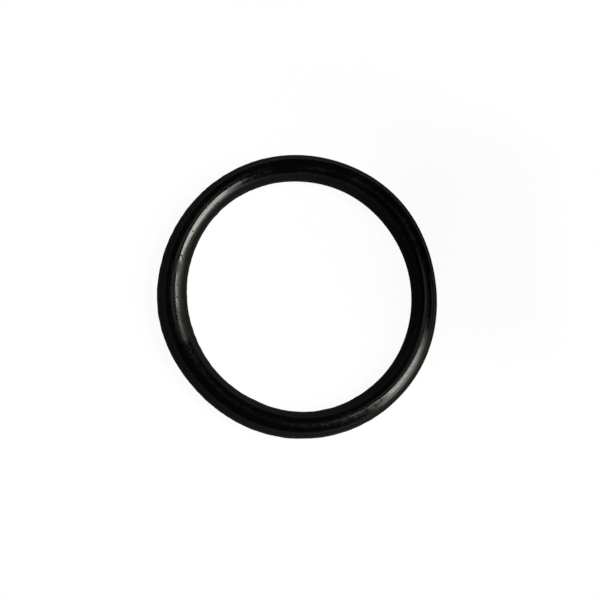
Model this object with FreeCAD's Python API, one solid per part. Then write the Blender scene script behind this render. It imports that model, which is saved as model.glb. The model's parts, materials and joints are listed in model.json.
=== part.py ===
"""A moulded rubber o-ring, lying flat: one round cord closed into a ring, with the thin rim its two-part mould leaves.

Millimetres. The origin is the ring's centre, on the mould's parting plane, and +Z runs along the ring's axis.
"""

import FreeCAD, Part

import math
import os

# Driving dimensions
INSIDE_DIAMETER = 30.0  # the hole, across the round cord
CORD_DIAMETER = 3.5  # the round section
RIM_HEIGHT = 0.06  # what trimming leaves of the flash, proud of the cord towards the hole and away from it
RIM_THICKNESS = 0.14  # the flash along the axis, half of it in each half of the mould

# Sizes that follow from them
CORD_RADIUS = CORD_DIAMETER / 2
RING_RADIUS = INSIDE_DIAMETER / 2 + CORD_RADIUS  # from the axis to the middle of the cord
RIM_HALF = RIM_THICKNESS / 2
LAND_REACH = CORD_RADIUS + RIM_HEIGHT  # from the middle of the cord to the rim's flat land
ROOT_REACH = math.sqrt(CORD_RADIUS**2 - RIM_HALF**2)  # from the middle of the cord to the rim's root

TOP = 1
BOTTOM = -1
OUTER = 1
INNER = -1


def section_point(reach, height):
    """A point of the section, reach away from the middle of the cord and height above the parting plane."""
    return FreeCAD.Vector(RING_RADIUS + reach, 0, height)


def half_round(half):
    """The cord's surface in one half of the mould, from the outer rim's root over to the inner one's."""
    outer_root = section_point(OUTER * ROOT_REACH, half * RIM_HALF)
    crown = section_point(0, half * CORD_RADIUS)
    inner_root = section_point(INNER * ROOT_REACH, half * RIM_HALF)
    return [Part.Arc(outer_root, crown, inner_root).toShape()]


def rim(side):
    """The trimmed flash on one side of the cord: a flat land between two short shoulders."""
    corners = [
        section_point(side * ROOT_REACH, TOP * RIM_HALF),
        section_point(side * LAND_REACH, TOP * RIM_HALF),
        section_point(side * LAND_REACH, BOTTOM * RIM_HALF),
        section_point(side * ROOT_REACH, BOTTOM * RIM_HALF),
    ]
    return [Part.makeLine(start, end) for start, end in zip(corners, corners[1:])]


def section():
    """The whole section as a face, in the half plane through the ring's axis."""
    edges = half_round(TOP) + rim(INNER) + half_round(BOTTOM) + rim(OUTER)
    return Part.Face(Part.Wire(Part.__sortEdges__(edges)))


def o_ring():
    """The section turned once round the axis, as the mould's grooves are cut."""
    axis_point = FreeCAD.Vector(0, 0, 0)
    axis = FreeCAD.Vector(0, 0, 1)
    return section().revolve(axis_point, axis, 360)


os.makedirs("parts", exist_ok=True)
o_ring().exportStep("parts/o_ring.step")
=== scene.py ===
import json
import math

import bpy
import numpy as np
from mathutils import Matrix, Vector


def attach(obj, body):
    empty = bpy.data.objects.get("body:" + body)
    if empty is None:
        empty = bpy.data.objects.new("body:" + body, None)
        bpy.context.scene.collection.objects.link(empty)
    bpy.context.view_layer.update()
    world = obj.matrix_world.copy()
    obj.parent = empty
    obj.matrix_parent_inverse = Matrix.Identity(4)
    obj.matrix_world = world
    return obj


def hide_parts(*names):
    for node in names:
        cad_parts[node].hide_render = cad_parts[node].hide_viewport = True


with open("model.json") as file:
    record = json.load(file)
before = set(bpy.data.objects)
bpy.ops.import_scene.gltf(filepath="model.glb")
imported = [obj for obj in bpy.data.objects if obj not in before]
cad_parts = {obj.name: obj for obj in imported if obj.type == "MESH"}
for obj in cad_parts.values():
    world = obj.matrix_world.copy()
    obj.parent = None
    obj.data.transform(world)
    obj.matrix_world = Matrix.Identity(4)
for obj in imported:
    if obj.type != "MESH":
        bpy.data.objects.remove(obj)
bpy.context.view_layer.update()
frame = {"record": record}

MM = 0.001
FULL_TURN = 2 * math.pi

# The ring's sizes in millimetres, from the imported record
mounts = {mount["name"]: mount for mount in frame["record"]["mounts"]}
INNER_LAND = mounts["shaft_side"]["dims"]["r_mm"]
OUTER_LAND = mounts["bore_side"]["dims"]["r_mm"]
RIM_HALF = mounts["shaft_side"]["dims"]["length_mm"] / 2
CORD_RADIUS = -mounts["face_side"]["pos_m"][2] / MM
RING_RADIUS = (INNER_LAND + OUTER_LAND) / 2
RIM_HEIGHT = OUTER_LAND - RING_RADIUS - CORD_RADIUS

# The mesh: steps round the ring, and across the round of each half of the mould
SEED = 7
STEPS_AROUND = 960
STEPS_OVER_ROUND = 36
ROUND_ENDS_AT = 0.13  # height of the round's last point beside the rim
RIM_HEIGHTS = (0.0, 0.02, 0.04, 0.055, RIM_HALF, 0.085, 0.10)  # heights of the rim's own points
RIM_FULL_TO = 0.055  # heights between which the rim falls away
RIM_GONE_AT = 0.088

# The map of the mesh: strips one above another, each for one part of the way round
STRIPS = 3
STRIP_MARGIN = 0.004

# How far the rubber strays from round: for each wave, its count round the ring, its size in millimetres
# and the angle of a crest
CENTRE_WAVES = ((3, 0.042, 57), (5, 0.034, 49))
WIDTH_WAVES = ((2, 0.047, 28), (3, 0.058, 67), (5, 0.031, 40), (7, 0.017, 41))

# The slight flat along the top of the cord
FLAT_DEPTH = 0.025
FLAT_WIDTH = 0.178  # in radians of the section
FLAT_LEAN = 14.2  # degrees towards +X

# What trimming has left of the flash, as a share of the rim's height
FLASH_WAVES = (3, 90)  # counts of the longest and the shortest waves round the ring
FLASH_SPREAD = 1.4
FLASH_CUT = 0.25
FLASH_LEAST = 0.08
NICKS = 14
NICK_WIDTHS = (0.15, 0.6)
NICK_SHARES = (0.5, 0.95)  # how much of the rim a nick takes away

# The unevenness of the moulded skin
SWELLS = 90
SWELL_COUNTS = (9, 50)  # waves round the ring
SWELL_TURNS = (-5, 6)  # waves round the section
SWELL_SIZE = 0.0012
DIMPLES = 160
DIMPLE_RADII = (0.16, 0.45)
DIMPLE_DEPTHS = (0.001, 0.004)
RAISED_SHARE = 0.3  # the dimples that stand proud instead

# The rubber's colours and its plain numbers
RUBBER_DARK = (0.0013, 0.0013, 0.0016, 1)
RUBBER_WORN = (0.0032, 0.0034, 0.0036, 1)
DUST_COLOUR = (0.012, 0.0125, 0.011, 1)
DUST_STRENGTH = 0.6
RUBBER_IOR = 1.5
SPECULAR_LEVEL = 0.2

# How fine the rubber's details are, in grains to a millimetre
PATCHES_FINE = 0.16
MOTTLE_FINE = 1.9
GRAIN_FINE = 5.0
LINES_FINE = 5.0
LINES_DRIFT_FINE = 0.12
PITS_FINE = 2.4
PIT_GROUPS_FINE = 0.7
DUST_FINE = 5.5

# How much they change the roughness, and how high they stand in millimetres
SMOOTHEST = 0.115
ROUGHEST = 0.155
MOTTLE_ROUGHNESS = 0.16
PIT_ROUGHNESS = 0.36
GRAIN_HEIGHT = 0.0008
LINES_HEIGHT = 0.0008
MOTTLE_HEIGHT = 0.0013
PIT_DEPTH = 0.0015
LINES_DRIFT = 2.0  # how far the turning lines wander, in their own spacing

# Where on their noise, from 0 to 1, the details start and are full
PATCH_RANGE = (0.35, 0.7)
PIT_EDGE = (0.20, 0.38)  # in spacings of the pits, from a pit's middle
PIT_GROUPS = (0.44, 0.54)
WORN_PATCHES = (0.4, 0.75)
WORN_MOTTLE = (0.3, 0.7)
DUST_RANGE = (0.68, 0.78)

FLANK_DULLNESS = 1.0  # extra roughness of the flanks, where the flash was trimmed
FLANK_FULL = 1.15  # heights between which that dullness fades out
FLANK_GONE = 1.64
PITTED_TOWARDS = 161  # the side of the ring where the skin is most pitted
PITTED_SPREAD = (0.75, 0.93)  # cosines of the angles from there between which the pits fade in
PITS_ELSEWHERE = 0.08  # how strong the pits are on the rest of the ring

# Patches of other gloss: their angle, their reach along and across the cord in millimetres, their extra roughness
SMUDGES = ((170, 1.1, 1.6, 0.24), (199, 1.6, 2.2, 0.12), (106, 6.5, 2.4, -0.06), (331, 7.0, 2.6, 0.08))
SMUDGE_FULL_TO = 0.4  # the share of its reach where a patch starts to fade

# The floor and the surroundings
FLOOR_HALF = 3000
FLOOR_COLOUR = 0.8
FLOOR_WHITE = 0.95  # its own white to the camera, where the ring's shadow hardly shows
FLOOR_WHITE_IN_GLOSS = 0.05  # its own pale light in reflections, which keep the ring's shadow
OVERHEAD = 0.012
HORIZON_WHITE = 1.0
WORLD_LIGHT = 0.15
SWEEP_FROM = 0.02  # sines of the heights between which the horizon's white fades out
SWEEP_ENDS_AT = 0.08

# The lights
KEY_COLOUR = (0.98, 1.0, 0.88)
FILL_COLOUR = (0.75, 0.95, 1.0)
PANEL_DISTANCE = 0.9
RADIANCE_TO_WATTS = 4.0

# The dark card to the right of the ring, in millimetres
CARD_X = (26, 50)
CARD_Y = (-7.4, 22)
CARD_HEIGHT = 25
CARD_COLOUR = (0.01, 0.01, 0.01, 1)

# The camera, in millimetres and degrees, for the photograph's 600 x 600 frame
FOCAL_PIXELS = 1000
FRAME_PIXELS = 600
SENSOR_WIDTH = 36
CAMERA_DISTANCE = 129.44
CAMERA_TILT = 14.55  # from straight above
CAMERA_BEARING = 206.7
CAMERA_AIM = (-0.288, -0.697, 0)
CAMERA_CLIP = (0.01, 20)  # in metres


def wave(angle, waves):
    """The sum of some waves round the ring."""
    return sum(size * np.cos(count * (angle - math.radians(crest))) for count, size, crest in waves)


def ramp(value, low, high):
    """0 below low, 1 above high, smooth between."""
    t = np.clip((value - low) / (high - low), 0, 1)
    return t * t * (3 - 2 * t)


def apart(angle, other):
    """How far one angle is from another, the short way round."""
    return (angle - other + math.pi) % FULL_TURN - math.pi


def wandering(rng, angle, longest, shortest):
    """A smooth random line round the ring, from 0 to 1, made of waves from the longest to the shortest."""
    counts = np.arange(longest, shortest + 1)
    phases = rng.uniform(0, FULL_TURN, len(counts))
    line = (np.cos(np.outer(angle, counts) + phases) / np.sqrt(counts)).sum(axis=1)
    return (line - line.min()) / (line.max() - line.min())


def section_angles():
    """The angles of the section's points, from underneath over the outer side, the top and the inner side."""
    near_rim = [math.asin(height / CORD_RADIUS) for height in RIM_HEIGHTS]
    last = math.asin(ROUND_ENDS_AT / CORD_RADIUS)
    outer = [-a for a in near_rim[:0:-1]] + near_rim
    inner = [math.pi + a for a in outer]
    quarter = STEPS_OVER_ROUND // 2
    over = list(np.linspace(last, math.pi - last, STEPS_OVER_ROUND))
    under = [a + math.pi for a in over]
    return np.array([a - FULL_TURN for a in under[quarter:]] + outer + over + inner + under[:quarter])


def rim_left(rng, angle):
    """What trimming has left of the flash's height, from 0 to 1, at each angle round the ring."""
    left = np.clip(FLASH_SPREAD * wandering(rng, angle, *FLASH_WAVES) - FLASH_CUT, FLASH_LEAST, 1)
    for place in rng.uniform(0, FULL_TURN, NICKS):
        width = rng.uniform(*NICK_WIDTHS) / RING_RADIUS
        left *= 1 - rng.uniform(*NICK_SHARES) * np.exp(-(apart(angle, place) / width) ** 2)
    return left


def skin(rng, around, across):
    """The moulded skin's slight unevenness along its normal: long swells and scattered shallow dimples."""
    height = np.zeros(np.broadcast(around, across).shape)
    for _ in range(SWELLS):
        count = rng.integers(*SWELL_COUNTS)
        turns = rng.integers(*SWELL_TURNS)
        height += np.cos(count * around + turns * across + rng.uniform(0, FULL_TURN))
    height *= SWELL_SIZE / math.sqrt(SWELLS / 2)
    for _ in range(DIMPLES):
        radius = rng.uniform(*DIMPLE_RADII)
        depth = rng.uniform(*DIMPLE_DEPTHS) * rng.choice((-1, 1), p=(RAISED_SHARE, 1 - RAISED_SHARE))
        place, turn = rng.uniform(0, FULL_TURN, 2)
        along = apart(around, place) * RING_RADIUS
        over = apart(across, turn) * CORD_RADIUS
        height -= depth * np.exp(-(along ** 2 + over ** 2) / radius ** 2)
    return height


def flat(around, across):
    """The slight flat along the top of the cord, which leans a little to one side."""
    middle = math.pi / 2 - math.radians(FLAT_LEAN) * np.cos(around)
    return -FLAT_DEPTH * np.exp(-((across - middle) / FLAT_WIDTH) ** 2)


def ring_points(around, across):
    """The place of each point of the mesh, in metres, by steps round the ring and across the cord."""
    rng = np.random.default_rng(SEED)
    rim_share = 1 - ramp(np.abs(np.sin(across)) * CORD_RADIUS, RIM_FULL_TO, RIM_GONE_AT)
    side = np.sign(np.cos(across))
    outer_rim = rim_left(rng, around)
    inner_rim = rim_left(rng, around)
    rim = np.where(side > 0, outer_rim[:, None], inner_rim[:, None]) * rim_share * RIM_HEIGHT
    bumps = skin(rng, around[:, None], across[None, :]) * (1 - rim_share)
    bumps += flat(around[:, None], across[None, :])
    width = CORD_RADIUS + wave(around, WIDTH_WAVES)[:, None] + bumps
    reach = RING_RADIUS + wave(around, CENTRE_WAVES)[:, None] + width * np.cos(across) + rim * side
    height = (CORD_RADIUS + bumps) * np.sin(across)
    x, y = reach * np.cos(around)[:, None], reach * np.sin(around)[:, None]
    return np.stack([x, y, height], axis=-1) * MM


def ring_mesh():
    """The ring as a closed grid of four-sided faces."""
    around = np.linspace(0, FULL_TURN, STEPS_AROUND, endpoint=False)
    across = section_angles()
    points = ring_points(around, across)
    steps_across = len(across)
    i, j = np.meshgrid(np.arange(STEPS_AROUND), np.arange(steps_across), indexing="ij")
    i, j = i.ravel(), j.ravel()
    row, next_row = i * steps_across, (i + 1) % STEPS_AROUND * steps_across
    next_j = (j + 1) % steps_across
    corners = np.stack([row + j, next_row + j, next_row + next_j, row + next_j], axis=1)

    mesh = bpy.data.meshes.new("rubber_ring")
    mesh.from_pydata(points.reshape(-1, 3).tolist(), [], corners.tolist())
    mesh.shade_smooth()
    lay_out(mesh, i, j, across)
    return mesh


def lay_out(mesh, i, j, across):
    """Lays the faces out flat as strips, one above another, without stretching."""
    steps_in_strip = STEPS_AROUND // STRIPS
    length = np.concatenate([[0], np.cumsum(np.diff(across, append=across[0] + FULL_TURN))]) / FULL_TURN
    strip = i // steps_in_strip
    start = (i % steps_in_strip) / steps_in_strip
    end = start + 1 / steps_in_strip
    low, high = length[j], length[j + 1]
    u = STRIP_MARGIN + np.stack([start, end, end, start], axis=1) * (1 - 2 * STRIP_MARGIN)
    v = np.stack([low, low, high, high], axis=1) * (1 / STRIPS - 2 * STRIP_MARGIN)
    v = v + STRIP_MARGIN + strip[:, None] / STRIPS
    layer = mesh.uv_layers.new(name="OFBake")
    layer.data.foreach_set("uv", np.stack([u, v], axis=-1).astype(np.float32).ravel())


class Nodes:
    """Short ways to add and join the nodes of one material or world."""

    def __init__(self, owner):
        owner.use_nodes = True
        self.tree = owner.node_tree
        self.tree.nodes.clear()

    def add(self, kind, settings=None, **inputs):
        """A node of this kind; each input is a value or another node's output, and _0 is the first input."""
        node = self.tree.nodes.new(kind)
        for name, value in (settings or {}).items():
            setattr(node, name, value)
        for name, value in inputs.items():
            self.feed(node, int(name[1:]) if name[1:].isdigit() else name.replace("_", " "), value)
        return node

    def feed(self, node, name, value):
        """Gives one input its value, or joins it to another node's output."""
        if isinstance(value, bpy.types.NodeSocket):
            self.tree.links.new(value, node.inputs[name])
        else:
            node.inputs[name].default_value = value

    def maths(self, operation, *values, clamp=False):
        node = self.add("ShaderNodeMath", {"operation": operation, "use_clamp": clamp})
        for index, value in enumerate(values):
            self.feed(node, index, value)
        return node.outputs[0]

    def vector(self, operation, *values, output="Vector", **inputs):
        node = self.add("ShaderNodeVectorMath", {"operation": operation}, **inputs)
        for index, value in enumerate(values):
            self.feed(node, index, value)
        return node.outputs[output]

    def plus(self, value, other, times):
        """The value with so many times the other added."""
        return self.maths("ADD", value, self.maths("MULTIPLY", other, times))

    def remap(self, value, low, high, to_low=0.0, to_high=1.0):
        """A smooth step from to_low to to_high while the value goes from low to high."""
        node = self.add("ShaderNodeMapRange", {"interpolation_type": "SMOOTHSTEP"})
        for index, number in enumerate((value, low, high, to_low, to_high)):
            self.feed(node, index, number)
        return node.outputs[0]

    def noise(self, place, scale, detail=2.0, roughness=0.5):
        """Noise from 0 to 1, so many grains to a millimetre."""
        node = self.add("ShaderNodeTexNoise", Vector=place, Scale=scale, Detail=detail, Roughness=roughness)
        return node.outputs["Fac"]

    def cells(self, place, scale):
        """The distance to the nearest of scattered points, so many to a millimetre, in their own spacing."""
        node = self.add("ShaderNodeTexVoronoi", Vector=place, Scale=scale, Randomness=1.0)
        return node.outputs["Distance"]

    def mix_number(self, share, a, b):
        return self.add("ShaderNodeMix", _0=share, _2=a, _3=b).outputs[0]

    def mix(self, share, a, b):
        return self.add("ShaderNodeMix", {"data_type": "RGBA"}, _0=share, _6=a, _7=b).outputs[2]


def smudge(n, in_mm, angle, reach_along, reach_across, extra):
    """The roughness that one patch on the crown of the cord adds."""
    a = math.radians(angle)
    centre = (RING_RADIUS * math.cos(a), RING_RADIUS * math.sin(a), CORD_RADIUS)
    off = n.vector("SUBTRACT", in_mm, centre)
    turned = n.add("ShaderNodeVectorRotate", {"rotation_type": "Z_AXIS"}, Vector=off, Angle=-a).outputs[0]
    scaled = n.vector("DIVIDE", turned, (reach_across, reach_along, reach_across))
    distance = n.vector("LENGTH", scaled, output="Value")
    return n.remap(distance, SMUDGE_FULL_TO, 1.0, extra, 0.0)


def rubber():
    """Satin black nitrile rubber: a moulded skin with fine grain, turning lines, pits, dull patches and dust."""
    material = bpy.data.materials.new("black nitrile rubber")
    n = Nodes(material)
    in_mm = n.vector("SCALE", n.add("ShaderNodeTexCoord").outputs["Object"], Scale=1 / MM)
    x, y, z = n.add("ShaderNodeSeparateXYZ", Vector=in_mm).outputs
    radius = n.maths("SQRT", n.maths("ADD", n.maths("MULTIPLY", x, x), n.maths("MULTIPLY", y, y)))

    # The mould's turning lines run round the ring, so they depend on radius and height alone
    drift = n.maths("MULTIPLY", n.noise(in_mm, LINES_DRIFT_FINE), LINES_DRIFT)
    across, up = n.maths("MULTIPLY", radius, LINES_FINE), n.maths("MULTIPLY", z, LINES_FINE)
    lines = n.noise(n.add("ShaderNodeCombineXYZ", X=across, Y=up, Z=drift).outputs[0], 1.0, detail=0.0)

    patches = n.noise(in_mm, PATCHES_FINE, detail=3.0)
    mottle = n.noise(in_mm, MOTTLE_FINE, detail=2.0, roughness=0.6)
    grain = n.noise(in_mm, GRAIN_FINE, detail=1.0)

    # The pits come in groups, mostly on one side of the ring
    side = math.radians(PITTED_TOWARDS)
    along_x, along_y = math.cos(side) / RING_RADIUS, math.sin(side) / RING_RADIUS
    along = n.maths("ADD", n.maths("MULTIPLY", x, along_x), n.maths("MULTIPLY", y, along_y))
    pits = n.remap(n.cells(in_mm, PITS_FINE), *PIT_EDGE, 1.0, 0.0)
    pits = n.maths("MULTIPLY", pits, n.remap(along, *PITTED_SPREAD, PITS_ELSEWHERE, 1.0))
    pits = n.maths("MULTIPLY", pits, n.remap(n.noise(in_mm, PIT_GROUPS_FINE, detail=1.0), *PIT_GROUPS))

    roughness = n.remap(patches, *PATCH_RANGE, SMOOTHEST, ROUGHEST)
    roughness = n.plus(roughness, n.maths("SUBTRACT", mottle, 0.5), MOTTLE_ROUGHNESS)
    roughness = n.plus(roughness, pits, PIT_ROUGHNESS)
    for patch in SMUDGES:
        roughness = n.maths("ADD", roughness, smudge(n, in_mm, *patch))
    flank = n.remap(n.maths("ABSOLUTE", z), FLANK_FULL, FLANK_GONE, 1.0, 0.0)
    roughness = n.maths("ADD", roughness, n.maths("MULTIPLY", flank, FLANK_DULLNESS), clamp=True)

    worn = n.maths("MULTIPLY", n.remap(patches, *WORN_PATCHES), n.remap(mottle, *WORN_MOTTLE))
    colour = n.mix(worn, RUBBER_DARK, RUBBER_WORN)
    dust = n.remap(n.noise(in_mm, DUST_FINE, detail=2.0, roughness=0.7), *DUST_RANGE)
    colour = n.mix(n.maths("MULTIPLY", dust, DUST_STRENGTH), colour, DUST_COLOUR)

    relief = n.maths("MULTIPLY", grain, GRAIN_HEIGHT)
    relief = n.plus(relief, lines, LINES_HEIGHT)
    relief = n.plus(relief, mottle, MOTTLE_HEIGHT)
    relief = n.plus(relief, pits, -PIT_DEPTH)
    bump = n.add("ShaderNodeBump", Strength=1.0, Distance=MM, Height=relief)

    normal = bump.outputs[0]
    shader = n.add("ShaderNodeBsdfPrincipled", Base_Color=colour, Roughness=roughness, Normal=normal)
    shader.inputs["IOR"].default_value = RUBBER_IOR
    shader.inputs["Specular IOR Level"].default_value = SPECULAR_LEVEL
    n.add("ShaderNodeOutputMaterial", Surface=shader.outputs[0])
    return material


def rays(n):
    """Two switches of 0 or 1: camera rays alone, and camera, glossy and transmission rays together."""
    path = n.add("ShaderNodeLightPath").outputs
    to_camera = path["Is Camera Ray"]
    gloss = n.maths("MAXIMUM", path["Is Glossy Ray"], path["Is Transmission Ray"])
    return to_camera, n.maths("MAXIMUM", to_camera, gloss)


def rectangle(name, x_range, y_range, height, material):
    """A level rectangle for the floor or the card, in millimetres."""
    (x0, x1), (y0, y1) = x_range, y_range
    corners = [(x * MM, y * MM, height * MM) for x, y in ((x0, y0), (x1, y0), (x1, y1), (x0, y1))]
    mesh = bpy.data.meshes.new(name)
    mesh.from_pydata(corners, [], [(0, 1, 2, 3)])
    mesh.materials.append(material)
    thing = bpy.data.objects.new(name, mesh)
    bpy.context.collection.objects.link(thing)
    return thing


def floor():
    """A plain pale floor under the ring, which shows as white."""
    material = bpy.data.materials.new("pale floor")
    n = Nodes(material)
    to_camera, seen = rays(n)
    own = n.mix_number(to_camera, FLOOR_WHITE_IN_GLOSS, FLOOR_WHITE)
    shaded = n.maths("SUBTRACT", n.mix_number(to_camera, FLOOR_COLOUR, 1.0), own)
    white = n.add("ShaderNodeEmission", Strength=own)
    takes_shadow = n.add("ShaderNodeBsdfDiffuse", Color=shaded)
    plain = n.add("ShaderNodeBsdfDiffuse", Color=(FLOOR_COLOUR,) * 3 + (1,))
    bright = n.add("ShaderNodeAddShader", _0=white.outputs[0], _1=takes_shadow.outputs[0])
    mixed = n.add("ShaderNodeMixShader", _0=seen, _1=plain.outputs[0], _2=bright.outputs[0])
    n.add("ShaderNodeOutputMaterial", Surface=mixed.outputs[0])
    reach = (-FLOOR_HALF, FLOOR_HALF)
    rectangle("floor", reach, reach, -CORD_RADIUS, material)


def card():
    """A small dark card that keeps the lamps off one part of the ring; the camera doesn't see it."""
    material = bpy.data.materials.new("dark card")
    n = Nodes(material)
    dark = n.add("ShaderNodeBsdfDiffuse", Color=CARD_COLOUR)
    n.add("ShaderNodeOutputMaterial", Surface=dark.outputs[0])
    rectangle("card", CARD_X, CARD_Y, CARD_HEIGHT, material).visible_camera = False


def surroundings():
    """A white sweep that ends a little above the horizon, with a dark room over it; the camera sees all white."""
    world = bpy.data.worlds.new("surroundings")
    bpy.context.scene.world = world
    n = Nodes(world)
    direction = n.add("ShaderNodeTexCoord").outputs["Generated"]
    up = n.add("ShaderNodeSeparateXYZ", Vector=direction).outputs[2]
    to_camera, seen = rays(n)
    in_gloss = n.remap(up, SWEEP_FROM, SWEEP_ENDS_AT, HORIZON_WHITE, OVERHEAD)
    strength = n.mix_number(to_camera, n.mix_number(seen, WORLD_LIGHT, in_gloss), HORIZON_WHITE)
    background = n.add("ShaderNodeBackground", Color=(1, 1, 1, 1), Strength=strength)
    n.add("ShaderNodeOutputWorld", Surface=background.outputs[0])


def towards(zenith, azimuth):
    """The direction so many degrees from straight above, at this bearing."""
    z, a = math.radians(zenith), math.radians(azimuth)
    return Vector((math.sin(z) * math.cos(a), math.sin(z) * math.sin(a), math.cos(z)))


def stand(name, data, across, along, back, place):
    """Puts a lamp or a camera in its place, facing away from back."""
    thing = bpy.data.objects.new(name, data)
    bpy.context.collection.objects.link(thing)
    pose = Matrix((across, along, back)).transposed().to_4x4()
    pose.translation = place
    thing.matrix_world = pose
    return thing


def panel(name, zenith, azimuth, turn, half_width, half_height, radiance, colour):
    """A flat soft light that faces the ring, its half sizes given as shares of its distance."""
    out = towards(zenith, azimuth)
    a, t = math.radians(azimuth), math.radians(turn)
    level = Vector((-math.sin(a), math.cos(a), 0))
    upright = out.cross(level)
    across = level * math.cos(t) + upright * math.sin(t)
    along = upright * math.cos(t) - level * math.sin(t)
    lamp = bpy.data.lights.new(name, "AREA")
    lamp.shape = "RECTANGLE"
    lamp.size, lamp.size_y = 2 * half_width * PANEL_DISTANCE, 2 * half_height * PANEL_DISTANCE
    lamp.energy = radiance * RADIANCE_TO_WATTS * lamp.size * lamp.size_y
    lamp.color = colour
    stand(name, lamp, across, along, out, out * PANEL_DISTANCE).visible_camera = False


def camera():
    """The camera, nearly above the ring, for the whole frame."""
    back = towards(CAMERA_TILT, CAMERA_BEARING)
    right = Vector((0, 1, 0)).cross(back).normalized()
    data = bpy.data.cameras.new("camera")
    data.sensor_width = SENSOR_WIDTH
    data.lens = FOCAL_PIXELS * SENSOR_WIDTH / FRAME_PIXELS
    data.clip_start, data.clip_end = CAMERA_CLIP
    place = (Vector(CAMERA_AIM) + CAMERA_DISTANCE * back) * MM
    bpy.context.scene.camera = stand("camera", data, right, back.cross(right), back, place)


camera()

ring = bpy.data.objects.new("rubber_ring", ring_mesh())
bpy.context.collection.objects.link(ring)
ring.data.materials.append(rubber())
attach(ring, "root")
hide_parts("o_ring")

floor()
surroundings()

panel("key", zenith=30.2, azimuth=-7.8, turn=-34.0,
      half_width=0.100, half_height=0.186, radiance=20.0, colour=KEY_COLOUR)
panel("key_low", zenith=50.8, azimuth=-24.5, turn=-22.5,
      half_width=0.154, half_height=0.274, radiance=6.4, colour=KEY_COLOUR)
panel("side", zenith=41.1, azimuth=6.7, turn=1.4,
      half_width=0.118, half_height=0.293, radiance=2.5, colour=KEY_COLOUR)
panel("foot", zenith=31.7, azimuth=15.1, turn=-12.0,
      half_width=0.02, half_height=0.062, radiance=21.0, colour=KEY_COLOUR)
panel("overhead", zenith=11.6, azimuth=107.9, turn=3.1,
      half_width=0.219, half_height=0.157, radiance=0.8, colour=FILL_COLOUR)

card()

bpy.context.scene.view_settings.view_transform = "Standard"
